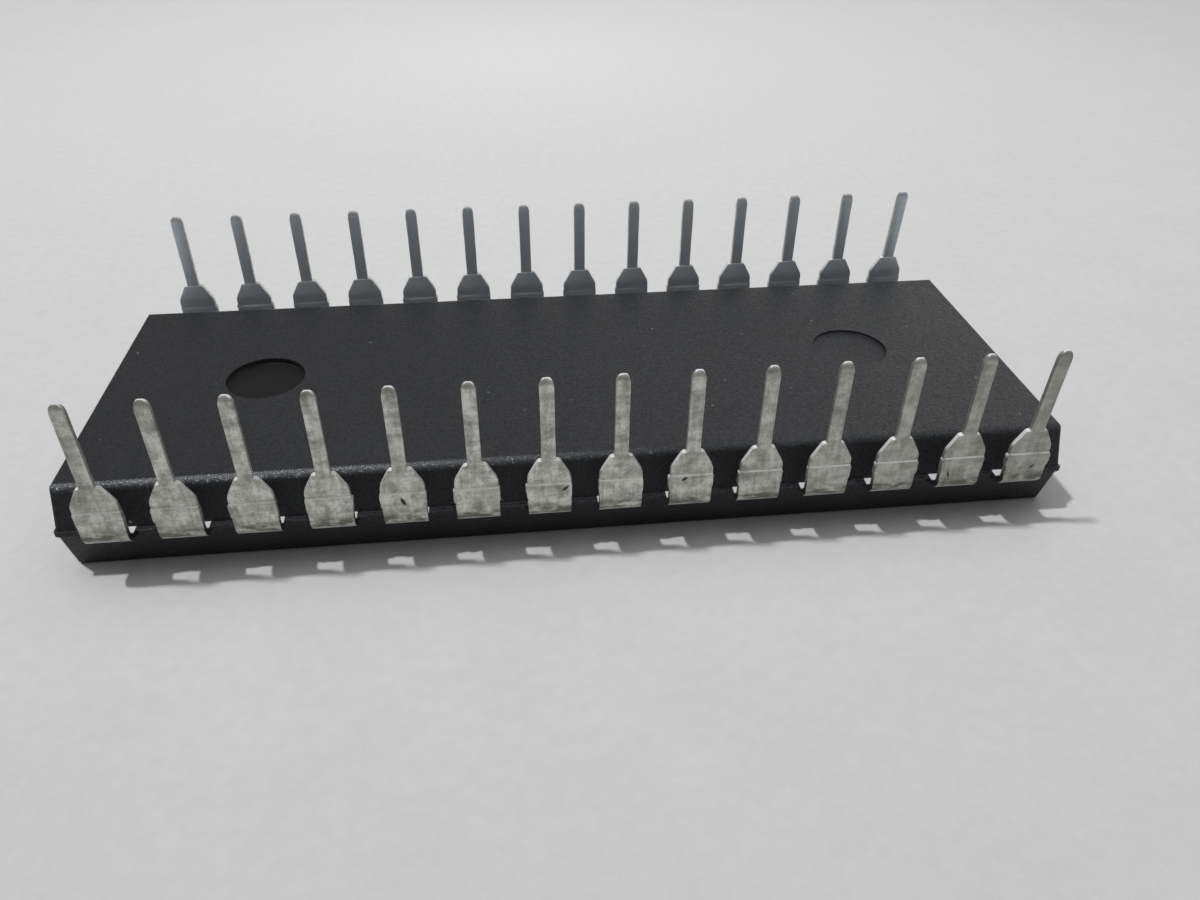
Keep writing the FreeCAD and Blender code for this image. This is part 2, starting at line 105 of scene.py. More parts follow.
# Steps in which curves are drawn
BEND_STEPS = 10
SHOULDER_STEPS = 5
LEG_STEPS = 6
DAM_FLASH_STEPS = 7
EDGE_STEPS = 8
CORNER_STEPS = 6
RECESS_STEPS = 72
SHARP_ANGLE = math.radians(32)

# Colours of the compound
COMPOUND_PIT, COMPOUND_PEAK = (0.002, 0.0022, 0.0028), (0.023, 0.0245, 0.0275)
COMPOUND_CLOUD = (0.011, 0.0115, 0.0125)
COMPOUND_SPECK = (0.22, 0.23, 0.25)
# Painted fill light: a lighter, even tone on the shaded lower wall
COMPOUND_LOWER_WALL_PAINTED_FILL = (0.025, 0.026, 0.028)
# Painted shade on the floor of the deep ejector mark
COMPOUND_DEEP_MARK_SHADE = (0.006, 0.006, 0.007)
# Painted highlight: bluish glints along the long top edges, on the side of the lamp
COMPOUND_PAINTED_GLINT = (0.50, 0.56, 0.70)

# Colours of the plating
PLATING_DARK, PLATING_MIDDLE, PLATING_LIGHT = (0.33, 0.325, 0.285), (0.57, 0.565, 0.515), (0.86, 0.855, 0.80)
# Painted shade on the leads towards the ends of the rows
PLATING_ENDS_PAINTED_SHADE = (0.28, 0.275, 0.25)
# Painted reflection of the dark shadow below, low on the bends
PLATING_BEND_REFLECTED_SHADE = (0.14, 0.135, 0.11)
# Painted highlight along the bottom of the strips and bends
PLATING_BEND_HIGHLIGHT = (0.72, 0.72, 0.69)
PLATING_STAIN = (0.045, 0.042, 0.038)
# Painted light: lighter bluish tin on the inner faces of the far row
PLATING_FAR_INSIDE_PAINTED_LIGHT = (0.86, 0.94, 1.00)
PLATING_SHADED = (0.03, 0.03, 0.032)
PLATING_BELOW_TIP = (0.16, 0.155, 0.14)
# Painted highlight on the coining step
PLATING_COIN_LINE_HIGHLIGHT = (0.99, 0.99, 0.96)
# Painted light on the upward cut faces and the tips
PLATING_PAINTED_LIT_DARK, PLATING_PAINTED_LIT_LIGHT = (0.84, 0.84, 0.85), (0.95, 0.95, 0.96)

# Colours of the pieces sealed in the body
PADDLE_DARK, PADDLE_LIGHT = (0.40, 0.39, 0.37), (0.52, 0.51, 0.48)
ATTACH_DARK, ATTACH_LIGHT = (0.42, 0.41, 0.38), (0.62, 0.61, 0.58)
SILICON_DARK, SILICON_LIGHT = (0.10, 0.11, 0.14), (0.15, 0.16, 0.20)
GOLD_DARK, GOLD_LIGHT = (0.85, 0.62, 0.24), (0.92, 0.70, 0.32)

# Floor
FLOOR_RADIUS = 0.7
FLOOR_GAP = 0.00001
FLOOR_DARK, FLOOR_LIGHT = (0.730, 0.733, 0.741), (0.765, 0.767, 0.774)
# Painted pool of light on the floor behind the part
FLOOR_POOL_PLACE, FLOOR_POOL_SIZE = (2, 66, 0), (46, 46, 50)
FLOOR_PAINTED_POOL = (0.97, 0.97, 0.97)
FLOOR_FIBRE = (0.28, 0.28, 0.285)

# Camera, from a solve over points of the photograph
CAMERA_PLACE = (-2.663, -33.572, 23.666)
CAMERA_AIM = (0.948, -3.985, 2.0)
CAMERA_ROLL = math.radians(0.62)
LENS = 28.127
SENSOR_WIDTH = 36.0

# Light: a small square lamp high on the left, and the room
LAMP_FROM = (-0.42, 0.042, 1.0)
LAMP_AWAY = 1.5
LAMP_SIDE = 0.07
LAMP_POWER = 9.7
ROOM_LEFT, ROOM_RIGHT = 0.18, 1.05
ROOM_FRONT = 0.20
FILL_HIGH, FILL_FRONT = 1.10, 0.45
BACKDROP = 0.88

# Sockets of a mix node that carry colours
MIX_FIRST, MIX_SECOND, MIX_RESULT = 6, 7, 2

Station = namedtuple("Station", "along height tilt left right inner outer shift")
Half = namedtuple("Half", "depth side_draft side_radius end_draft end_radius")
MARKED_HALF = Half(
    depth=PARTING,
    side_draft=math.radians(17.0), side_radius=0.12, end_draft=math.radians(0.5), end_radius=0.12,
)
LEAD_HALF = Half(
    depth=BODY_THICKNESS - PARTING,
    side_draft=math.radians(16.5), side_radius=0.32, end_draft=math.radians(4.0), end_radius=0.12,
)


def arc(centre, radius, start, end, steps):
    """Points on an arc between two angles in degrees."""
    angles = [math.radians(start + (end - start) * i / steps) for i in range(steps + 1)]
    return [(centre[0] + radius * math.cos(a), centre[1] + radius * math.sin(a)) for a in angles]


def lead_place(place):
    """X of a lead by its place in a row, counted from the notched end."""
    return (place - (LEADS_PER_ROW - 1) / 2) * PITCH


def make_object(name, bm, material, nodes):
    """Object in metres from a mesh in millimetres, which rides on the root body in place of CAD nodes."""
    bmesh.ops.recalc_face_normals(bm, faces=bm.faces)
    mesh = bpy.data.meshes.new(name)
    bm.to_mesh(mesh)
    bm.free()
    mesh.transform(Matrix.Scale(MM, 4))
    mesh.shade_smooth()
    mesh.set_sharp_from_angle(angle=SHARP_ANGLE)
    mesh.materials.append(material)
    piece = bpy.data.objects.new(name, mesh)
    bpy.context.scene.collection.objects.link(piece)
    normals = piece.modifiers.new("weighted_normals", "WEIGHTED_NORMAL")
    normals.keep_sharp = True
    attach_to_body(piece, "root")
    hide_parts(*nodes)


def loft(bm, rings):
    """Closed skin over rings of equally many points."""
    made = [[bm.verts.new(point) for point in ring] for ring in rings]
    for lower, upper in zip(made, made[1:]):
        for i in range(len(lower)):
            j = (i + 1) % len(lower)
            bm.faces.new((lower[i], lower[j], upper[j], upper[i]))
    bm.faces.new(made[0][::-1])
    bm.faces.new(made[-1])


def side_line(rng):
    """Up one side of a lead: (height, distance from the middle), with its dam-bar burr."""
    slope = math.atan((SHOULDER_HALF - FOOT_HALF) / (SEAT - SHOULDER_CORNER))
    slope_end = 90 - math.degrees(slope)
    proud = rng.uniform(*BURR_PROUD)
    burr = [
        (DAM_LOW, SHOULDER_HALF),
        (DAM_LOW + 0.03, SHOULDER_HALF + proud * rng.uniform(0.5, 1.0)),
        (DAM_LOW + 0.20, SHOULDER_HALF + proud * rng.uniform(0.6, 1.2)),
        (DAM_HIGH - 0.16, SHOULDER_HALF + proud * rng.uniform(0.6, 1.2)),
        (DAM_HIGH - 0.02, SHOULDER_HALF + proud),
        (DAM_HIGH, SHOULDER_HALF),
    ]
    tangent = SHOULDER_RADIUS * math.tan(slope / 2)
    shoulder_centre = (SHOULDER_CORNER - tangent, SHOULDER_HALF - SHOULDER_RADIUS)
    shoulder = arc(shoulder_centre, SHOULDER_RADIUS, 90, slope_end, SHOULDER_STEPS)
    reach = LEDGE_RADIUS * math.tan((math.pi / 2 - slope) / 2)
    ledge_centre = (SEAT - LEDGE_RADIUS, FOOT_HALF - reach)
    ledge = arc(ledge_centre, LEDGE_RADIUS, slope_end, 0, SHOULDER_STEPS)
    into_leg = [(SEAT + 0.003, LEG_HALF + 0.045), (SEAT + 0.014, LEG_HALF + 0.014), (LEG_START, LEG_HALF)]
    return burr + [(PARTING + BEND_RADIUS + 0.02, SHOULDER_HALF)] + shoulder + ledge + into_leg


def leg_lines(rng):
    """Heights along a leg above its ledge with its half width and half thickness."""
    half_strip = STRIP / 2
    lines = []
    for step in range(1, LEG_STEPS + 1):
        height = LEG_START + (TIP_START - LEG_START) * step / LEG_STEPS
        lines.append((height, LEG_HALF + rng.uniform(*LEG_WAVER), half_strip))
    lines += [
        (TIP_START + 0.10, LEG_HALF - 0.012, half_strip),
        (TIP_START + 0.19, LEG_HALF - 0.035, half_strip - 0.004),
        (TIP - 0.105, TIP_HALF + 0.018, half_strip - 0.014),
        (TIP - 0.060, TIP_HALF - 0.012, half_strip - 0.030),
        (TIP - 0.025, TIP_HALF - 0.045, half_strip - 0.046),
        (TIP, TIP_HALF - 0.085, half_strip - 0.066),
    ]
    return lines


def lead_stations(number):
    """Cross-sections of one lead from its anchor in the body, round the bend, to its tip."""
    rng = random.Random(number)
    half_strip = STRIP / 2
    flat = (SHOULDER_HALF, SHOULDER_HALF, half_strip, half_strip, 0)
    bend_place = ROW_PLACE - BEND_RADIUS
    stations = [Station(ANCHOR_PLACE, PARTING, 0, *flat)]
    for place, height in arc((bend_place, PARTING + BEND_RADIUS), BEND_RADIUS, -90, 0, BEND_STEPS):
        tilt = math.atan2(place - bend_place, PARTING + BEND_RADIUS - height)
        stations.append(Station(place, height, tilt, *flat))
    left, right = sorted(side_line(rng)), sorted(side_line(rng))
    lines = [(z, l, r, half_strip) for (z, l), (_, r) in zip(left, right)]
    lines += [(z, half, half, half_thickness) for z, half, half_thickness in leg_lines(rng)]
    lines += [(z, SHOULDER_HALF, SHOULDER_HALF, half_strip) for z in (COIN_LINE, COIN_LINE + COIN_DEPTH)]
    lean = BENT_LEADS.get(number, 0)
    for z, l, r, half_thickness in sorted(lines):
        coined = COIN_DEPTH if z > COIN_LINE + 0.01 else 0
        shift = lean * max(0.0, (z - SHOULDER_CORNER) / (TIP - SHOULDER_CORNER))
        outer = max(half_thickness - coined, THINNEST_HALF)
        stations.append(Station(ROW_PLACE, z, math.pi / 2, l, r, half_thickness, outer, shift))
    return stations


def lead_ring(station, lead_x, row_side):
    """Points round a cross-section with rounded corners, in the frame of the part."""
    outward = (math.sin(station.tilt), -math.cos(station.tilt))
    rounding = min(SHEAR_ROUNDING, station.inner * 0.8, station.outer * 0.8)
    corners = [
        (station.right, station.outer, 0), (-station.left, station.outer, 90),
        (-station.left, -station.inner, 180), (station.right, -station.inner, 270),
    ]
    ring = []
    for across, through, start in corners:
        centre = (across - math.copysign(rounding, across), through - math.copysign(rounding, through))
        for x, depth in arc(centre, rounding, start, start + 90, 3):
            along = station.along + outward[0] * depth
            height = station.height + outward[1] * depth
            ring.append((lead_x + station.shift + x, row_side * along, height))
    return ring


def finger_of(node, row_side):
    """The inner finger of a CAD lead, cut off where its shoulder starts, as a closed mesh."""
    bm = bmesh.new()
    bm.from_mesh(node.data)
    bm.transform(Matrix.Scale(1 / MM, 4))
    bmesh.ops.remove_doubles(bm, verts=bm.verts, dist=1e-4)
    cut = bmesh.ops.bisect_plane(
        bm, geom=bm.verts[:] + bm.edges[:] + bm.faces[:], dist=1e-5, clear_outer=True,
        plane_co=(0, row_side * (ANCHOR_PLACE + ANCHOR_OVERLAP), 0), plane_no=(0, row_side, 0),
    )
    rim = [item for item in cut["geom_cut"] if isinstance(item, bmesh.types.BMEdge)]
    bmesh.ops.holes_fill(bm, edges=rim)
    return bm


def make_lead(number, material):
    """One detailed lead in place of its CAD node. Numbers run along the far row and back along the near."""
    far = number <= LEADS_PER_ROW
    place = number - 1 if far else 2 * LEADS_PER_ROW - number
    row_side = 1 if far else -1
    node_name = f"lead_{number:02d}"
    bm = finger_of(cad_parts[node_name], row_side)
    loft(bm, [lead_ring(station, lead_place(place), row_side) for station in lead_stations(number)])
    make_object(f"formed_lead_{number:02d}", bm, material, [node_name])


def wall_offset(depth, draft, radius, height):
    """Where a drafted wall lies, outward from the parting outline, at a height above the face of its half."""
    if height >= radius * (1 - math.sin(draft)):
        return -(depth - height) * math.tan(draft)
    centre = -depth * math.tan(draft) - radius * math.tan((math.pi / 2 - draft) / 2)
    return centre + math.sqrt(radius ** 2 - (radius - height) ** 2)


def body_ring(half, height, z, proud=0.0):
    """Rounded rectangle round the body at a height above the face of its half."""
    along = wall_offset(half.depth, half.end_draft, half.end_radius, height)
    across = wall_offset(half.depth, half.side_draft, half.side_radius, height)
    wall = -(half.depth - height) * math.tan(half.side_draft)
    radius = max(CORNER_RADIUS + across - wall, SMALLEST_RADIUS)
    x, y = BODY_HALF_LENGTH + along + proud - radius, BODY_HALF_WIDTH + across + proud - radius
    ring = []
    for sign_x, sign_y, start in ((1, 1, 0), (-1, 1, 90), (-1, -1, 180), (1, -1, 270)):
        corner = arc((sign_x * x, sign_y * y), radius, start, start + 90, CORNER_STEPS)
        ring += [(px, py, z) for px, py in corner]
    return ring


def half_heights(half):
    """Heights above the face of a half at which its wall gets a ring."""
    turns = [math.radians(90 * i / EDGE_STEPS) for i in range(EDGE_STEPS + 1)]
    edge = [half.side_radius * (1 - math.cos(turn)) for turn in turns]
    return edge + [half.depth * 0.5, half.depth - FLASH_HALF_HEIGHT]


def body_shell():
    """Both drafted halves with the flash line between them, as one closed mesh."""
    lower = [body_ring(MARKED_HALF, h, h) for h in half_heights(MARKED_HALF)]
    upper = [body_ring(LEAD_HALF, h, BODY_THICKNESS - h) for h in reversed(half_heights(LEAD_HALF))]
    nose = FLASH_HALF_HEIGHT - FLASH_ROUNDING
    flash = []
    for z, start, end in ((PARTING - nose, -80, 0), (PARTING + nose, 0, 80)):
        for proud, height in arc((FLASH_PROUD - FLASH_ROUNDING, z), FLASH_ROUNDING, start, end, 3):
            flash.append(body_ring(MARKED_HALF, PARTING, height, proud))
    bm = bmesh.new()
    loft(bm, lower + flash + upper)
    return bm


def add_dam_flash(bm):
    """Broken edge of the compound that ran out between the leads as far as the dam bar, on both sides."""
    rng = random.Random(DAM_FLASH_SEED)
    low, high = PARTING - STRIP / 2 + 0.01, PARTING + STRIP / 2 - 0.01
    root = BODY_HALF_WIDTH - 0.10
    for row_side in (-1, 1):
        for place in range(LEADS_PER_ROW - 1):
            start = lead_place(place) + SHOULDER_HALF
            end = lead_place(place + 1) - SHOULDER_HALF
            rings = []
            for i in range(DAM_FLASH_STEPS + 1):
                x = start + (end - start) * i / DAM_FLASH_STEPS
                reach = DAM_FLASH_REACH + rng.uniform(-0.045, 0.035)
                top = high - rng.uniform(0.0, 0.05)
                profile = [
                    (root, low), (reach - 0.05, low), (reach, low + 0.04), (reach - 0.02, top - 0.03),
                    (reach - 0.06, top), (root, top),
                ]
                rings.append([(x, row_side * y, z) for y, z in profile])
            loft(bm, rings)


def recess_cutter(centre, radius, face_z, depth, direction):
    """Lathed tool for a round recess with soft edges, in a face that looks up (1) or down (-1)."""
    fillet = min(0.06, depth * 0.5)
    side = [(0.0, -depth)]
    side += arc((radius - fillet, -depth + fillet), fillet, -90, 0, 4)
    side += arc((radius + RIM_ROUNDING, -RIM_ROUNDING), RIM_ROUNDING, 180, 90, 4)
    side += [(radius + RIM_ROUNDING, 1.0), (0.0, 1.0)]
    bm = bmesh.new()
    made = []
    for i in range(RECESS_STEPS):
        turn = 2 * math.pi * i / RECESS_STEPS
        line = []
        for r, z in side:
            x, y = centre[0] + r * math.cos(turn), centre[1] + r * math.sin(turn)
            line.append(bm.verts.new((x, y, face_z + direction * z)))
        made.append(line)
    for a, b in zip(made, made[1:] + made[:1]):
        for i in range(len(side) - 1):
            bm.faces.new((a[i], a[i + 1], b[i + 1], b[i]))
    bmesh.ops.remove_doubles(bm, verts=bm.verts, dist=1e-5)
    return bm


def as_scratch_object(bm, name):
    """Object in millimetres that is only used to shape another."""
    bmesh.ops.recalc_face_normals(bm, faces=bm.faces)
    mesh = bpy.data.meshes.new(name)
    bm.to_mesh(mesh)
    bm.free()
    scratch = bpy.data.objects.new(name, mesh)
    bpy.context.scene.collection.objects.link(scratch)
    return scratch


def carve(shell, cutters):
    """Mesh of the shell without the room of the cutters."""
    base = as_scratch_object(shell, "shell")
    tools = [as_scratch_object(cutter, f"cutter_{i}") for i, cutter in enumerate(cutters)]
    for tool in tools:
        cut = base.modifiers.new("cut", "BOOLEAN")
        cut.operation = "DIFFERENCE"
        cut.solver = "EXACT"
        cut.object = tool
    bm = bmesh.new()
    bm.from_object(base, bpy.context.evaluated_depsgraph_get())
    for scratch in [base] + tools:
        bpy.data.objects.remove(scratch)
    return bm


def make_body(material):
    """Moulded body with notch, dimple and ejector marks, in place of the CAD body."""
    cutters = [
        recess_cutter(DEEP_MARK_PLACE, MARK_RADIUS, BODY_THICKNESS, DEEP_MARK, 1),
        recess_cutter(SHALLOW_MARK_PLACE, MARK_RADIUS, BODY_THICKNESS, SHALLOW_MARK, 1),
        recess_cutter((-BODY_HALF_LENGTH, 0), NOTCH_RADIUS, 0, NOTCH_DEPTH, -1),
        recess_cutter(DIMPLE_PLACE, DIMPLE_RADIUS, 0, DIMPLE_DEPTH, -1),
    ]
    bm = carve(body_shell(), cutters)
    add_dam_flash(bm)
    make_object("moulded_body", bm, material, ["mould_body"])


class NodeSketch:
    """Short calls for building a node tree. A value is a number, a tuple or a socket."""

    def __init__(self, tree):
        self.tree = tree

    def feed(self, target, value):
        """Set an input, or link a socket to it."""
        if isinstance(value, (int, float, tuple)):
            target.default_value = value
        else:
            self.tree.links.new(value, target)

    def add(self, kind, inputs, **settings):
        node = self.tree.nodes.new(kind)
        for key, value in settings.items():
            setattr(node, key, value)
        for key, value in inputs.items():
            self.feed(node.inputs[key], value)
        return node

    def axes(self, vector):
        """X, Y and Z of a vector."""
        return self.add("ShaderNodeSeparateXYZ", {"Vector": vector}).outputs

    def math(self, operation, first, second=0.0):
        return self.add("ShaderNodeMath", {0: first, 1: second}, operation=operation).outputs[0]

    def product(self, first, *others):
        for other in others:
            first = self.math("MULTIPLY", first, other)
        return first

    def ramp(self, source, low, high, out_low, out_high):
        """Number that runs from one to another as the source does, and stays there."""
        limits = {"From Min": low, "From Max": high, "To Min": out_low, "To Max": out_high}
        return self.add("ShaderNodeMapRange", {"Value": source, **limits}, clamp=True).outputs["Result"]

    def choose(self, mask, otherwise, chosen):
        """Number between two others."""
        inputs = {"Factor": mask, "A": otherwise, "B": chosen}
        return self.add("ShaderNodeMix", inputs, data_type="FLOAT").outputs["Result"]

    def mix(self, mask, otherwise, chosen):
        """Colour between two others."""
        first, second = ((*c, 1) if isinstance(c, tuple) else c for c in (otherwise, chosen))
        inputs = {"Factor": mask, MIX_FIRST: first, MIX_SECOND: second}
        return self.add("ShaderNodeMix", inputs, data_type="RGBA").outputs[MIX_RESULT]

    def colours(self, source, stops):
        """Colour by the value of a source, from (value, colour) pairs."""
        node = self.add("ShaderNodeValToRGB", {"Fac": source})
        ramp = node.color_ramp
        while len(ramp.elements) < len(stops):
            ramp.elements.new(0.5)
        for element, (position, colour) in zip(ramp.elements, stops):
            element.position = position
            element.color = (*colour, 1)
        return node.outputs["Color"]


class MaterialSketch(NodeSketch):
    """Node tree of a material. Masks run from nought to one."""

    def __init__(self, name):
        self.material = bpy.data.materials.new(name)
        self.material.use_nodes = True
        super().__init__(self.material.node_tree)
        coordinates = self.add("ShaderNodeTexCoord", {}).outputs
        self.place = coordinates["Object"]
        self.x, self.y, self.z = self.axes(self.place)
        self.normal_x, self.normal_y, self.normal_z = self.axes(coordinates["Normal"])

    def finish(self, **values):
        """Material whose shader has these values. Underscores stand for the spaces in its names."""
        shader = self.tree.nodes["Principled BSDF"]
        for name, value in values.items():
            self.feed(shader.inputs[name.replace("_", " ")], value)
        return self.material

    def stretched(self, scale):
        """Place in millimetres, times a scale along each axis."""
        inputs = {"Vector": self.place, "Scale": tuple(s / MM for s in scale)}
        return self.add("ShaderNodeMapping", inputs).outputs["Vector"]

    def noise(self, scale, detail=3.0, roughness=0.55, stretch=(1, 1, 1)):
        inputs = {"Vector": self.stretched(stretch), "Scale": scale, "Detail": detail, "Roughness": roughness}
        return self.add("ShaderNodeTexNoise", inputs).outputs["Fac"]

    def rise(self, source, low, high, start=0.0):
        """Mask that grows to one."""
        return self.ramp(source, low, high, start, 1.0)

    def fall(self, source, low, high, end=0.0):
        """Mask that shrinks from one."""
        return self.ramp(source, low, high, 1.0, end)

    def past(self, axis, low, high, start=0.0):
        """Mask that grows to one over a stretch in millimetres."""
        return self.rise(axis, low * MM, high * MM, start)

    def before(self, axis, low, high, end=0.0):
        """Mask that shrinks from one over a stretch in millimetres."""
        return self.fall(axis, low * MM, high * MM, end)

    def spot(self, centre, size, slant=0, soft=0.25, ragged=0.5):
        """Mask of an uneven patch, with its centre and half sizes in millimetres and its slant in degrees."""
        inputs = {
            "Vector": self.place,
            "Location": tuple(c * MM for c in centre),
            "Rotation": (0, math.radians(slant), 0),
            "Scale": tuple(s * MM for s in size),
        }
        mapping = self.add("ShaderNodeMapping", inputs, vector_type="TEXTURE")
        length = self.add("ShaderNodeVectorMath", {0: mapping.outputs["Vector"]}, operation="LENGTH")
        wobble = self.product(self.noise(6.0, detail=2.0), ragged)
        reach = self.math("ADD", length.outputs["Value"], wobble)
        edge = 1.0 + ragged / 2
        return self.fall(reach, edge - soft, edge + soft)

    def bump(self, height, distance, base=None):
        """Normal roughened by a height, to a depth in millimetres."""
        inputs = {"Height": height, "Distance": distance * MM, "Strength": 1.0}
        if base is not None:
            inputs["Normal"] = base
        return self.add("ShaderNodeBump", inputs).outputs["Normal"]


def compound_specks(m):
    """Mask of the filler grains that show here and there."""
    cells = m.add("ShaderNodeTexVoronoi", {"Vector": m.stretched((1, 1, 1)), "Scale": 2.2}).outputs
    middle = m.fall(cells["Distance"], 0.07, 0.14)
    chosen = m.rise(cells["Color"], 0.82, 0.88)
    return m.product(middle, chosen)


def edge_polish_and_glint(m):
    """Mask of the polished long edges of the upper half, which carry painted glints and fade towards the
    right end, away from the lamp's highlight.
    """
    facing = m.product(m.rise(m.normal_z, 0.30, 0.60), m.fall(m.normal_z, 0.985, 0.9995))
    polish_and_glint_reach = m.product(m.past(m.z, 2.6, 2.9), m.before(m.x, -8, 4, 0.08))
    return m.product(facing, m.past(m.math("ABSOLUTE", m.y), 6.00, 6.15), polish_and_glint_reach)


def deep_mark_floor(m):
    """Mask of the floor of the deep ejector mark."""
    centre = (*DEEP_MARK_PLACE, BODY_THICKNESS - DEEP_MARK)
    return m.spot(centre, (MARK_RADIUS, MARK_RADIUS, DEEP_MARK * 0.8), soft=0.06, ragged=0.0)


def compound_material():
    """Black moulding compound with the fine grain of an eroded mould and grey filler specks, with painted
    glints on the long edges, painted fill light on the lower wall and painted shade in the deep ejector mark.
    """
    m = MaterialSketch("moulding_compound")
    grain = m.noise(11.0, detail=3.0, roughness=0.75)
    cloud = m.noise(0.35, detail=2.0)
    edge = edge_polish_and_glint(m)
    deep_floor = deep_mark_floor(m)
    colour = m.colours(grain, [(0.36, COMPOUND_PIT), (0.64, COMPOUND_PEAK)])
    colour = m.mix(m.ramp(cloud, 0.3, 0.7, 0.0, 0.30), colour, COMPOUND_CLOUD)
    colour = m.mix(compound_specks(m), colour, COMPOUND_SPECK)
    # Painted fill light: the lower wall of the marked half gets a lighter, even tone that stands in for light
    # reaching it
    painted_fill_on_lower_wall = m.product(m.before(m.z, 1.2, PARTING - FLASH_HALF_HEIGHT), 0.75)
    colour = m.mix(painted_fill_on_lower_wall, colour, COMPOUND_LOWER_WALL_PAINTED_FILL)
    # Painted shade: the floor of the deep ejector mark is darkened to stand in for the shade in its recess
    colour = m.mix(deep_floor, colour, COMPOUND_DEEP_MARK_SHADE)
    # Painted highlight: pale bluish grains on the edges stand in for glints of the lamp
    painted_glint = m.product(edge, m.ramp(grain, 0.60, 0.66, 0.0, 0.90))
    roughness = m.ramp(grain, 0.35, 0.65, 0.60, 0.36)
    shine = m.ramp(deep_floor, 0.0, 1.0, 0.36, 0.20)
    return m.finish(
        Base_Color=m.mix(painted_glint, colour, COMPOUND_PAINTED_GLINT),
        Roughness=m.math("SUBTRACT", roughness, m.product(edge, 0.20)),
        Specular_IOR_Level=m.math("ADD", shine, m.product(edge, 0.64)),
        Specular_Tint=(0.95, 0.975, 1.0, 1.0),
        Normal=m.bump(grain, 0.034, base=m.bump(m.noise(3.0, detail=2.0), 0.012)),
    )


def plating_faces(m, cloud, grain, along):
    """Colour of clouded tin, with painted shade towards the ends of the rows, a painted reflection of shadow
    low down, a painted highlight along the bottom, and stains.
    """
    across = m.noise(5.0, detail=2.0, stretch=(0.15, 0.15, 1.0))
    blend = m.product(cloud, 0.48)
    for texture, share in ((grain, 0.18), (along, 0.18), (across, 0.16)):
        blend = m.math("ADD", blend, m.product(texture, share))
    colour = m.colours(blend, [(0.40, PLATING_DARK), (0.49, PLATING_MIDDLE), (0.58, PLATING_LIGHT)])
    # Painted shade: the plating darkens towards both ends of the rows, standing in for duller light there
    left_end_shade = m.product(m.before(m.x, -17, -10), 0.26)
    right_end_shade = m.ramp(m.x, 0.0, 16 * MM, 0.08, 0.60)
    colour = m.mix(m.math("MAXIMUM", left_end_shade, right_end_shade), colour, PLATING_ENDS_PAINTED_SHADE)
    # Painted reflection: dark patches low on the leads stand in for the shadow on the floor mirrored in the
    # start of the bend
    patches = m.ramp(m.noise(3.0, detail=4.0, stretch=(0.5, 1, 1.3)), 0.42, 0.56, 0.10, 0.95)
    colour = m.mix(m.product(m.before(m.z, 2.32, 2.62), patches), colour, PLATING_BEND_REFLECTED_SHADE)
    # Painted highlight: a light band along the bottom of the strips and bends
    colour = m.mix(m.product(m.before(m.z, 1.99, 2.07), 0.80), colour, PLATING_BEND_HIGHLIGHT)
    for centre, size, slant in STAINS:
        colour = m.mix(m.spot(centre, size, slant), colour, PLATING_STAIN)
    return colour


def inside_far_row(m):
    """Mask of the faces of the far row that look at the near row, where lighter bluish light is painted."""
    return m.product(m.past(m.y, -1, 1), m.fall(m.normal_y, -0.6, -0.2), 0.85)


def low_on_sides(m):
    """Mask of the cut sides of the leads down at the bend."""
    return m.product(m.rise(m.math("ABSOLUTE", m.normal_x), 0.5, 0.8), m.before(m.z, 2.20, 2.60), 0.92)


def inside_bend(m):
    """Mask of the hollow of the bend, on the side of the body."""
    off_middle = m.math("ABSOLUTE", m.y)
    across = m.product(m.past(off_middle, 7.19, 7.25), m.before(off_middle, 7.43, 7.46))
    return m.product(across, m.past(m.z, 1.92, 1.97), m.before(m.z, 2.4, 2.7))


def below_tip(m):
    """Mask of the ring round a leg just below the top of its tip."""
    return m.product(m.past(m.z, 7.38, 7.46), m.fall(m.normal_z, 0.4, 0.7), 0.45)


def coin_line(m, cloud):
    """Mask of the painted highlight on the step across the shoulders where coining ends, broken by the
    clouds.
    """
    step_top = COIN_LINE + COIN_DEPTH
    step = m.product(
        m.past(m.z, COIN_LINE - 0.010, COIN_LINE + 0.005), m.before(m.z, step_top - 0.005, step_top + 0.010),
    )
    return m.product(step, m.past(m.math("ABSOLUTE", m.y), 7.56, 7.60), m.rise(cloud, 0.35, 0.50, 0.45))


def lit_upward_faces(m, in_bend):
    """Mask of the upward faces that the die sheared, where lit tin is painted, weaker on the tips and away
    from the lamp.
    """
    return m.product(
        m.rise(m.normal_z, 0.22, 0.50),
        m.before(m.z, 7.20, 7.45, 0.15),
        m.fall(m.normal_x, 0.05, 0.40, 0.25),
        m.fall(m.math("ABSOLUTE", m.normal_y), 0.15, 0.50, 0.10),
        m.math("SUBTRACT", 1.0, in_bend),
    )


def tip_top(m):
    """Mask of the top of the tips, where lit tin is painted."""
    return m.product(m.past(m.z, 7.54, 7.59), m.rise(m.normal_z, 0.55, 0.80))


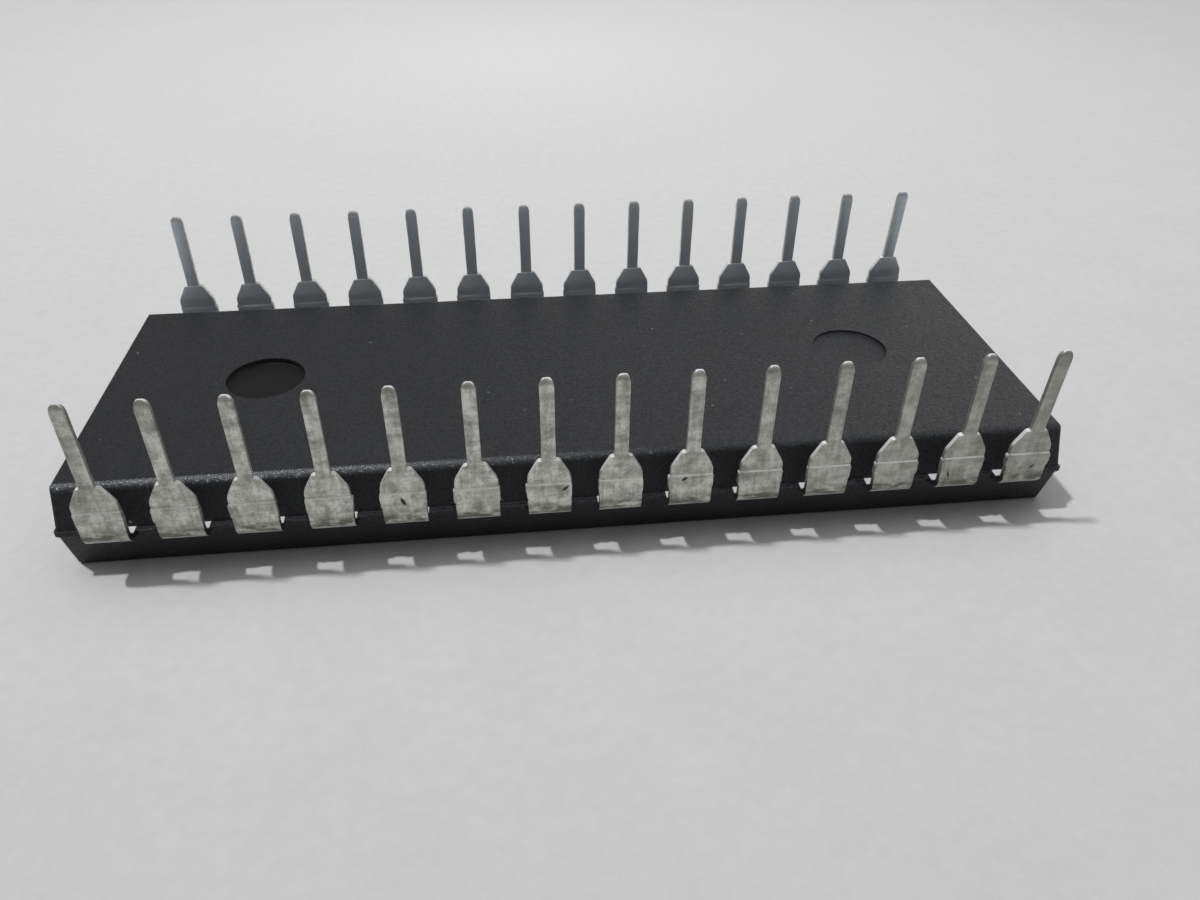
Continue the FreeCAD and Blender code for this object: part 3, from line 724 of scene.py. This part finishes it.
def plating_material():
    """Satin tin plating with fine grain and cloudy patches, painted shade in the bends, and painted light on
    the upward cut edges and tips.
    """
    m = MaterialSketch("lead_plating")
    cloud = m.noise(1.7, detail=4.0, roughness=0.6)
    grain = m.noise(11.0, detail=2.0, roughness=0.6)
    along = m.noise(7.0, detail=2.0, stretch=(1, 1, 0.10))
    far_inside_painted_light, in_bend = inside_far_row(m), inside_bend(m)
    colour = plating_faces(m, cloud, grain, along)
    # Painted light: the far row's inner faces get a lighter bluish tone and less metal
    colour = m.mix(far_inside_painted_light, colour, PLATING_FAR_INSIDE_PAINTED_LIGHT)
    colour = m.mix(low_on_sides(m), colour, PLATING_SHADED)
    colour = m.mix(m.product(in_bend, 0.85), colour, PLATING_SHADED)
    colour = m.mix(below_tip(m), colour, PLATING_BELOW_TIP)
    # Painted highlight: a near-white line on the coining step
    colour = m.mix(coin_line(m, cloud), colour, PLATING_COIN_LINE_HIGHLIGHT)
    # Painted light: upward faces towards the lamp get pale, less metallic tin
    painted_lit_faces = m.math("MAXIMUM", lit_upward_faces(m, in_bend), tip_top(m))
    painted_lit_tin = m.colours(cloud, [(0.3, PLATING_PAINTED_LIT_DARK), (0.6, PLATING_PAINTED_LIT_LIGHT)])
    return m.finish(
        Base_Color=m.mix(painted_lit_faces, colour, painted_lit_tin),
        Metallic=m.ramp(m.math("MAXIMUM", painted_lit_faces, far_inside_painted_light), 0.0, 1.0, 0.62, 0.25),
        Roughness=m.ramp(cloud, 0.3, 0.7, 0.52, 0.36),
        Normal=m.bump(along, 0.004, base=m.bump(grain, 0.004)),
    )


def wavering_material(name, scale, stops, **values):
    """Material whose colour wavers."""
    m = MaterialSketch(name)
    return m.finish(Base_Color=m.colours(m.noise(scale), stops), **values)


def floor_material():
    """Pale matt card with a faint unevenness, and a painted pool of light behind the part."""
    m = MaterialSketch("pale_floor")
    patches = m.noise(0.22, detail=4.0, roughness=0.6)
    colour = m.colours(patches, [(0.3, FLOOR_DARK), (0.7, FLOOR_LIGHT)])
    colour = m.mix(m.spot(FLOOR_POOL_PLACE, FLOOR_POOL_SIZE, soft=0.9, ragged=0.0), colour, FLOOR_PAINTED_POOL)
    fibres = m.ramp(m.noise(1.8, detail=4.0, roughness=0.65), 0.35, 0.65, 0.0, 0.07)
    return m.finish(
        Base_Color=m.mix(fibres, colour, FLOOR_FIBRE),
        Roughness=0.85,
        Specular_IOR_Level=0.05,
        Normal=m.bump(m.noise(1.4, detail=5.0, roughness=0.6), 0.016),
    )


def finish_node(name, material):
    """Give a CAD node its material."""
    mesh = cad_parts[name].data
    mesh.materials.clear()
    mesh.materials.append(material)


def finish_inner_nodes():
    """Materials of the pieces sealed in the body."""
    paddle = wavering_material(
        "die_paddle", 3.0, [(0.35, PADDLE_DARK), (0.65, PADDLE_LIGHT)], Metallic=1.0, Roughness=0.40,
    )
    attach = wavering_material(
        "die_attach", 12.0, [(0.3, ATTACH_DARK), (0.7, ATTACH_LIGHT)], Roughness=0.7,
    )
    silicon = wavering_material(
        "silicon", 1.2, [(0.3, SILICON_DARK), (0.7, SILICON_LIGHT)], Metallic=0.4, Roughness=0.15,
    )
    gold = wavering_material(
        "bond_wire", 20.0, [(0.35, GOLD_DARK), (0.65, GOLD_LIGHT)], Metallic=1.0, Roughness=0.22,
    )
    finish_node("die_paddle", paddle)
    finish_node("die_attach", attach)
    finish_node("silicon_die", silicon)
    for number in range(1, 2 * LEADS_PER_ROW + 1):
        finish_node(f"bond_wire_{number:02d}", gold)


def make_floor():
    """Wide round floor just under the part."""
    bm = bmesh.new()
    bmesh.ops.create_circle(bm, cap_ends=True, segments=96, radius=FLOOR_RADIUS)
    mesh = bpy.data.meshes.new("floor")
    bm.to_mesh(mesh)
    bm.free()
    mesh.materials.append(floor_material())
    floor = bpy.data.objects.new("floor", mesh)
    floor.location.z = -FLOOR_GAP
    bpy.context.scene.collection.objects.link(floor)


def make_lamp():
    """Small square lamp high on the left."""
    light = bpy.data.lights.new("lamp", "AREA")
    light.shape = "SQUARE"
    light.size = LAMP_SIDE
    light.energy = LAMP_POWER
    lamp = bpy.data.objects.new("lamp", light)
    direction = Vector(LAMP_FROM).normalized()
    lamp.location = direction * LAMP_AWAY
    lamp.rotation_euler = direction.to_track_quat("Z", "Y").to_euler()
    bpy.context.scene.collection.objects.link(lamp)


def make_room():
    """World that is seen as a plain backdrop, mirrored as a room with a dark front, and fills from above."""
    world = bpy.data.worlds.new("room")
    bpy.context.scene.world = world
    world.use_nodes = True
    n = NodeSketch(world.node_tree)
    x, y, z = n.axes(n.add("ShaderNodeTexCoord", {}).outputs["Generated"])
    front = n.math("MAXIMUM", n.ramp(y, -0.5, 0.3, ROOM_FRONT, 1.0), n.ramp(z, 0.2, 0.5, ROOM_FRONT, 1.0))
    mirrored = n.product(n.ramp(x, -0.5, 0.5, ROOM_LEFT, ROOM_RIGHT), front)
    fill = n.product(n.ramp(z, 0.5, 1.0, 0.0, FILL_HIGH), n.ramp(y, -0.6, 0.2, FILL_FRONT, 1.0))
    ray = n.add("ShaderNodeLightPath", {}).outputs
    in_mirror = n.math("MAXIMUM", ray["Is Glossy Ray"], ray["Is Transmission Ray"])
    background = world.node_tree.nodes["Background"]
    strength = n.choose(ray["Is Camera Ray"], n.choose(in_mirror, fill, mirrored), BACKDROP)
    n.feed(background.inputs["Strength"], strength)
    n.feed(background.inputs["Color"], (1.0, 1.0, 1.0, 1.0))


def make_camera():
    """Camera at the photograph's place."""
    data = bpy.data.cameras.new("camera")
    data.lens = LENS
    data.sensor_width = SENSOR_WIDTH
    data.clip_start, data.clip_end = 0.001, 20.0
    camera = bpy.data.objects.new("camera", data)
    place, aim = Vector(CAMERA_PLACE) * MM, Vector(CAMERA_AIM) * MM
    level = (aim - place).to_track_quat("-Z", "Y").to_matrix()
    camera.matrix_world = Matrix.Translation(place) @ (level @ Matrix.Rotation(CAMERA_ROLL, 3, "Z")).to_4x4()
    bpy.context.scene.collection.objects.link(camera)
    bpy.context.scene.camera = camera


make_body(compound_material())
plating = plating_material()
for lead_number in range(1, 2 * LEADS_PER_ROW + 1):
    make_lead(lead_number, plating)
finish_inner_nodes()
make_floor()
make_lamp()
make_room()
make_camera()
bpy.context.scene.view_settings.view_transform = "Standard"
